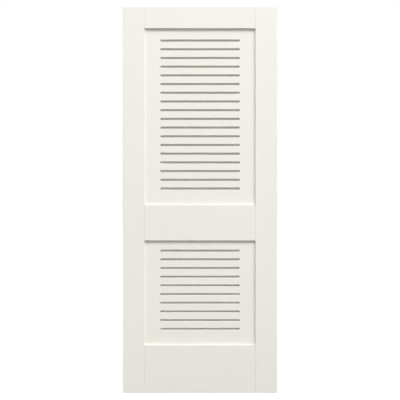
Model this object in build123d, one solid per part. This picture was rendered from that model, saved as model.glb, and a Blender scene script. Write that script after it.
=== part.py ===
from build123d import *
import math
import os

# Interior door slab with two vented panels.
# Millimetres. X runs across the door from the hinge edge, Y from front to back, Z up.
# The origin lies on the hinge edge, at the slab's bottom, midway through its thickness.

# Slab
door_width = 812.8
door_height = 2032.0
door_thickness = 34.925
edge_ease = 1.5

# Stiles and rails
stile_width = 114.3
top_rail_height = 113.0
lock_rail_height = 186.0
bottom_rail_height = 251.0
lower_opening_height = 551.0
arris_ease = 0.3
quirk_width = 0.6
quirk_depth = 2.0

# Grooves that house the rails' tongues and the panels
groove_depth = 12.0
groove_play = 0.1
tongue_gap = 0.5
panel_gap = 2.0

# Vent panels
panel_thickness = 12.7

# Vent slots
slot_height = 11.4
slot_pitch = 45.9
slot_corner = 2.5
slot_side_margin = 82.55
slot_foot_margin = 80.0
upper_slot_drop = 63.2
lower_slot_drop = 54.4
sight_overlap = 0.5

# Sizes that follow
opening_width = door_width - 2 * stile_width
lower_opening_foot = bottom_rail_height
lock_rail_foot = lower_opening_foot + lower_opening_height
upper_opening_foot = lock_rail_foot + lock_rail_height
top_rail_foot = door_height - top_rail_height
upper_opening_height = top_rail_foot - upper_opening_foot
tongue_thickness = panel_thickness
groove_width = panel_thickness + 2 * groove_play
tongue_length = groove_depth - tongue_gap
panel_lap = groove_depth - panel_gap
slot_length = opening_width - 2 * slot_side_margin
slot_fall = slot_height + sight_overlap

os.makedirs("parts", exist_ok=True)


def save(piece, name):
    piece.label = name
    export_step(piece, f"parts/{name}.step")


# Stiles and rails
def sides(body, across):
    """The two sides of a member that lie furthest apart along an axis, the lower one first."""
    faces = body.faces().sort_by(across)
    return faces[0], faces[-1]


def stile(hinge_side):
    """A full height upright with a groove down its inner edge."""
    body = Box(stile_width, door_thickness, door_height, align=(Align.MIN, Align.CENTER, Align.MIN))
    outer = sides(body, Axis.X)[0].edges().filter_by(Axis.Z)
    for end in sides(body, Axis.Z):
        outer += end.edges().filter_by(Axis.X)
    body = fillet(outer, edge_ease)
    inner = sides(body, Axis.X)[1].edges().filter_by(Axis.Z)
    body = fillet(inner, arris_ease)
    body -= Pos(stile_width - groove_depth, 0, 0) * Box(
        groove_depth, groove_width, door_height, align=(Align.MIN, Align.CENTER, Align.MIN)
    )
    if hinge_side:
        return body
    return Pos(door_width, 0, 0) * mirror(body, about=Plane.YZ)


def rail(foot, height, panel_below, panel_above):
    """A cross rail, tongued at both ends, with a fine quirk down each joint and a groove for each panel."""
    body = Pos(stile_width, 0, foot) * Box(
        opening_width, door_thickness, height, align=(Align.MIN, Align.CENTER, Align.MIN)
    )
    for end, takes_panel in enumerate((panel_below, panel_above)):
        arrises = sides(body, Axis.Z)[end].edges().filter_by(Axis.X)
        body = fillet(arrises, arris_ease if takes_panel else edge_ease)
    quirk = Box(2 * quirk_width, 2 * quirk_depth, height)
    for x in (stile_width, door_width - stile_width):
        for y in (-door_thickness / 2, door_thickness / 2):
            body -= Pos(x, y, foot + height / 2) * quirk
    body += Pos(door_width / 2, 0, foot + height / 2) * Box(
        opening_width + 2 * tongue_length, tongue_thickness, height
    )
    groove = Box(door_width, groove_width, 2 * groove_depth)
    if panel_below:
        body -= Pos(door_width / 2, 0, foot) * groove
    if panel_above:
        body -= Pos(door_width / 2, 0, foot + height) * groove
    return body


# Vent panels
def slot_heights(foot, height, first_drop):
    """The height of each slot's mouth centre on the front of a panel, from the top down."""
    count = 1 + math.floor((height - first_drop - slot_foot_margin) / slot_pitch)
    top = foot + height - first_drop
    return [top - n * slot_pitch for n in range(count)]


def slot_cutter(z):
    """A round cornered slot that falls towards the back, so nothing shows straight through."""
    slope = math.atan2(slot_fall, panel_thickness)
    along = Vector(0, math.cos(slope), -math.sin(slope))
    centre = Vector(door_width / 2, 0, z - slot_fall / 2)
    width_of_cut = slot_height * math.cos(slope)
    reach = (panel_thickness + slot_height) / math.cos(slope)
    plane = Plane(origin=centre - along * (reach / 2), x_dir=(1, 0, 0), z_dir=along)
    return extrude(plane * RectangleRounded(slot_length, width_of_cut, slot_corner), amount=reach)


def vent_panel(foot, height, first_drop):
    """One board, housed in the grooves all round, with a ladder of sloping slots milled through it."""
    board = Pos(door_width / 2, 0, foot + height / 2) * Box(
        opening_width + 2 * panel_lap, panel_thickness, height + 2 * panel_lap
    )
    cutters = [slot_cutter(z) for z in slot_heights(foot, height, first_drop)]
    return board - cutters


save(stile(True), "left_stile")
save(stile(False), "right_stile")
save(rail(0, bottom_rail_height, False, True), "bottom_rail")
save(rail(lock_rail_foot, lock_rail_height, True, True), "lock_rail")
save(rail(top_rail_foot, top_rail_height, True, False), "top_rail")
save(vent_panel(upper_opening_foot, upper_opening_height, upper_slot_drop), "upper_vent_panel")
save(vent_panel(lower_opening_foot, lower_opening_height, lower_slot_drop), "lower_vent_panel")
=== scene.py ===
import bpy
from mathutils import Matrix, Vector


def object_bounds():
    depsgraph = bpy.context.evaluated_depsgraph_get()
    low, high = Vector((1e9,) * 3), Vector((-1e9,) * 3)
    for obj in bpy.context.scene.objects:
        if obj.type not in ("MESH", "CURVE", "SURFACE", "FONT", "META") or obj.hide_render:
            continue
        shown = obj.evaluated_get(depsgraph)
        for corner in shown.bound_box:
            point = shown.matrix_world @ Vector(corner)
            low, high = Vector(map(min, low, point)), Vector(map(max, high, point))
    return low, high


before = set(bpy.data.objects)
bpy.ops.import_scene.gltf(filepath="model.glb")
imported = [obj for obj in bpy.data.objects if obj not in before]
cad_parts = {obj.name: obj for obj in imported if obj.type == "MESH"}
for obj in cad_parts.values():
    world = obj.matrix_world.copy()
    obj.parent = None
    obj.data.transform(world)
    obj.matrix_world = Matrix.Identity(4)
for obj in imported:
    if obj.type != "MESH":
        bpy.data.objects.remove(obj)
cad_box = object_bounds()
bpy.ops.object.select_all(action="DESELECT")

# The camera stands square on to the front face, as far off as the photograph's did. Its frame takes in 400
# pixels of 5.262 mm at the front face, and the slab's middle lies a quarter of a pixel above its centre.
slab_low, slab_high = (Vector(corner) for corner in cad_box)
slab_middle = (slab_low + slab_high) / 2
pixel = 0.005262
frame_width = 400 * pixel
middle_above_centre = 0.255 * pixel
lens_mm = 75
sensor_mm = 36
stand_off = frame_width * lens_mm / sensor_mm
camera_data = bpy.data.cameras.new("camera")
camera_data.lens = lens_mm
camera_data.sensor_width = sensor_mm
camera_data.clip_end = 100
camera = bpy.data.objects.new("camera", camera_data)
camera.location = (slab_middle.x, slab_low.y - stand_off, slab_middle.z - middle_above_centre)
camera.rotation_euler = Vector((0, 1, 0)).to_track_quat("-Z", "Y").to_euler()
bpy.context.scene.collection.objects.link(camera)
bpy.context.scene.camera = camera


# Stiles and rails: dense fibreboard members tongued together, with a fine quirk down each joint, and sprayed
# with a warm white satin paint. The faces keep a faint orange peel, the sawn edges drink the paint and dry
# rougher, and it pulls thin over the eased arrises.
class Value:
    """A node's output, which adds its own Math nodes wherever it is used in an expression."""

    def __init__(self, recipe, socket):
        self.recipe = recipe
        self.socket = socket

    def maths(self, operation, *values):
        return self.recipe.node("ShaderNodeMath", {"operation": operation}, dict(enumerate(values)))

    def __add__(self, other):
        return self.maths("ADD", self, other)

    def __sub__(self, other):
        return self.maths("SUBTRACT", self, other)

    def __rsub__(self, other):
        return self.maths("SUBTRACT", other, self)

    def __mul__(self, other):
        return self.maths("MULTIPLY", self, other)

    def __gt__(self, other):
        return self.maths("GREATER_THAN", self, other)

    def __abs__(self):
        return self.maths("ABSOLUTE", self)

    __radd__ = __add__
    __rmul__ = __mul__


class Recipe:
    """A tree of shader nodes, with one method that makes any node and one that fills a socket."""

    def __init__(self, owner):
        owner.use_nodes = True
        self.tree = owner.node_tree

    def node(self, kind, settings=None, inputs=None, output=0):
        made = self.tree.nodes.new(kind)
        for name, setting in (settings or {}).items():
            setattr(made, name, setting)
        for key, value in (inputs or {}).items():
            self.plug(made.inputs[key], value)
        return Value(self, made.outputs[output])

    def plug(self, socket, value):
        if isinstance(value, Value):
            self.tree.links.new(value.socket, socket)
        else:
            socket.default_value = value


class Finish(Recipe):
    """The recipe of one material, with the patterns and masks that its colours are made from."""

    def __init__(self, name):
        self.material = bpy.data.materials.new(name)
        super().__init__(self.material)
        self.shader = self.tree.nodes["Principled BSDF"]
        self.place = self.node("ShaderNodeTexCoord", output="Object")

    def blotches(self, size, detail=2.0, stretch=(1, 1, 1)):
        """Soft noise from 0 to 1 whose spots are about size metres across, or longer where stretched."""
        scale = [1 / (size * s) for s in stretch]
        place = self.node("ShaderNodeVectorMath", {"operation": "MULTIPLY"}, {0: self.place, 1: scale})
        return self.node("ShaderNodeTexNoise", inputs={"Vector": place, "Scale": 1.0, "Detail": detail})

    def facing(self, axis):
        """How far the surface faces along an axis, from -1 to 1."""
        normal = self.node("ShaderNodeNewGeometry", output="Normal")
        return self.node("ShaderNodeSeparateXYZ", inputs={0: normal}, output=axis)

    def side_on(self, axis):
        """1 where the surface faces along an axis, either way, and 0 elsewhere."""
        return abs(self.facing(axis)) > 0.9

    def blend(self, factor, first, second):
        colours = {0: factor, 6: first, 7: second}
        return self.node("ShaderNodeMix", {"data_type": "RGBA"}, colours, output=2)


class SatinPaint(Finish):
    """Warm white satin paint, sprayed and rubbed down along the grain of the member or panel under it."""

    def __init__(self, name, grain):
        super().__init__(name)
        warm_white = (0.857, 0.836, 0.789, 1)
        dull_white = (0.829, 0.803, 0.748, 1)
        cloud = self.blotches(0.35)
        self.drift = self.blotches(0.02, stretch=grain)
        self.colour = self.blend(cloud * 0.5 + self.drift * 0.5, warm_white, dull_white)
        self.roughness = 0.36 + self.drift * 0.12
        self.peel = self.blotches(0.0026, detail=3.0) * 0.8 + self.blotches(0.0007, detail=1.0) * 0.2

    def coat(self, members, colour, roughness, relief):
        """Lay the paint on some of the slab's members, with the relief that spraying leaves in its film."""
        film_relief = 0.00009
        bumps = self.node("ShaderNodeBump", inputs={"Height": relief, "Distance": film_relief})
        self.plug(self.shader.inputs["Base Color"], colour)
        self.plug(self.shader.inputs["Roughness"], roughness)
        self.plug(self.shader.inputs["Normal"], bumps)
        for member in members:
            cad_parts[member].material_slots[0].material = self.material


pale_fibre = (0.835, 0.823, 0.795, 1)
dark_fibre = (0.795, 0.78, 0.75, 1)
for paint_name, grain, members in (
    ("stile_paint", (1, 1, 8), ("left_stile", "right_stile")),
    ("rail_paint", (8, 1, 1), ("top_rail", "lock_rail", "bottom_rail")),
):
    paint = SatinPaint(paint_name, grain)
    cut_edge = paint.side_on("X") + paint.side_on("Z")
    arris = 1 - cut_edge - paint.side_on("Y")
    fibre = paint.blotches(0.0012, detail=4.0, stretch=(1, 3, 1))
    drunk_in = paint.blend(fibre, pale_fibre, dark_fibre)
    paint.coat(
        members,
        colour=paint.blend(cut_edge + arris * paint.drift, paint.colour, drunk_in),
        roughness=paint.roughness + cut_edge * 0.15,
        relief=paint.peel * (1 - cut_edge * 0.5) + fibre * cut_edge,
    )


# Vent panels: one thinner board each, housed in grooves all round and milled with a ladder of sloping
# slots. The same paint covers them, and lies thinner and rougher on the milled walls of the slots; these
# walls are also coloured darker as painted shade inside the slots, and their floors darker still as painted
# shade.
paint = SatinPaint("panel_paint", (1, 1, 4))
slot_wall = 1 - paint.side_on("Y")
slot_floor = paint.facing("Z") > 0.5
tooling = paint.blotches(0.0009, detail=3.0, stretch=(20, 1, 1))
# Painted shade: the slot walls are coloured darker than the faces, partly for thinner paint on the milled
# fibre and partly to stand in for the shade inside the slots.
thin_paint_and_shade = paint.blend(tooling, (0.81, 0.775, 0.705, 1), (0.77, 0.735, 0.665, 1))
# Painted shade: the slots' floors are coloured darker still, standing in for shade inside the slots.
slot_floor_shade = paint.blend(paint.drift, (0.66, 0.63, 0.58, 1), (0.6, 0.57, 0.52, 1))
paint.coat(
    ("upper_vent_panel", "lower_vent_panel"),
    colour=paint.blend(slot_wall, paint.colour, paint.blend(slot_floor, thin_paint_and_shade, slot_floor_shade)),
    roughness=paint.roughness + slot_wall * 0.2,
    relief=paint.peel * (1 - slot_wall) + tooling * slot_wall,
)


# Floor: a plain pale studio floor under the slab, which keeps a soft shadow. Where it is seen directly it
# glows by itself, less near the slab where the lamps help to whiten it, so that it looks white and throws
# no more light on the slab.
floor_size = 60
near_glow = 0.72
near_radius = 1.5
far_radius = 6.0
bpy.ops.mesh.primitive_plane_add(size=floor_size, location=(slab_middle.x, slab_middle.y, slab_low.z))
floor = bpy.context.object
floor.name = "floor"
bpy.ops.object.transform_apply(location=True, rotation=True, scale=True)


def seen_directly(recipe):
    """1 on rays from the camera or off a shiny surface, and 0 on the rays that carry light."""
    camera_ray = recipe.node("ShaderNodeLightPath", output="Is Camera Ray")
    glossy_ray = recipe.node("ShaderNodeLightPath", output="Is Glossy Ray")
    clear_ray = recipe.node("ShaderNodeLightPath", output="Is Transmission Ray")
    return camera_ray + glossy_ray + clear_ray > 0


paper = Finish("floor_paper")
centre = paper.node("ShaderNodeVectorMath", {"operation": "SUBTRACT"}, {0: paper.place, 1: slab_middle})
level = paper.node("ShaderNodeVectorMath", {"operation": "MULTIPLY"}, {0: centre, 1: (1, 1, 0)})
away = paper.node("ShaderNodeVectorMath", {"operation": "LENGTH"}, {0: level}, output="Value")
fade = {"Value": away, "From Min": near_radius, "From Max": far_radius}
far = paper.node("ShaderNodeMapRange", inputs=fade)
glow = near_glow + far * (1 - near_glow)
paper.plug(paper.shader.inputs["Base Color"], (0.25, 0.25, 0.25, 1))
paper.plug(paper.shader.inputs["Roughness"], 1.0)
paper.plug(paper.shader.inputs["Emission Color"], (1, 1, 1, 1))
paper.plug(paper.shader.inputs["Emission Strength"], seen_directly(paper) * glow)
floor.data.materials.append(paper.material)


# Light: a broad softbox high in front and a little to the right, weaker ones at both sides and behind, and
# an even studio air that is white where it is seen directly. They stand far enough off that the slab's foot
# is only a little darker than its head.
world = bpy.data.worlds.new("studio_air")
bpy.context.scene.world = world
air = Recipe(world)
warm_air = air.node("ShaderNodeBackground", inputs={"Color": (1, 0.965, 0.905, 1), "Strength": 0.155})
white_air = air.node("ShaderNodeBackground", inputs={"Color": (1, 1, 1, 1), "Strength": 1.0})
seen_air = air.node("ShaderNodeMixShader", inputs={0: seen_directly(air), 1: warm_air, 2: white_air})
air.plug(air.tree.nodes["World Output"].inputs["Surface"], seen_air)


def softbox(name, offset, width, height, watts):
    """A soft light that faces the slab's middle."""
    lamp_data = bpy.data.lights.new(name, "AREA")
    lamp_data.shape = "RECTANGLE"
    lamp_data.size = width
    lamp_data.size_y = height
    lamp_data.energy = watts
    lamp = bpy.data.objects.new(name, lamp_data)
    lamp.location = slab_middle + Vector(offset)
    lamp.rotation_euler = (-Vector(offset)).to_track_quat("-Z", "Y").to_euler()
    bpy.context.scene.collection.objects.link(lamp)


softbox("key_light", offset=(3.2, -9.1, 13.9), width=9.5, height=7.4, watts=2965)
softbox("right_light", offset=(8.7, -6.7, 6.3), width=6, height=6, watts=455)
softbox("left_light", offset=(-9.0, -4.5, 8.0), width=6, height=6, watts=223)
softbox("back_light", offset=(-5.0, 8.0, 7.0), width=7, height=7, watts=1300)

bpy.context.scene.view_settings.view_transform = "Standard"
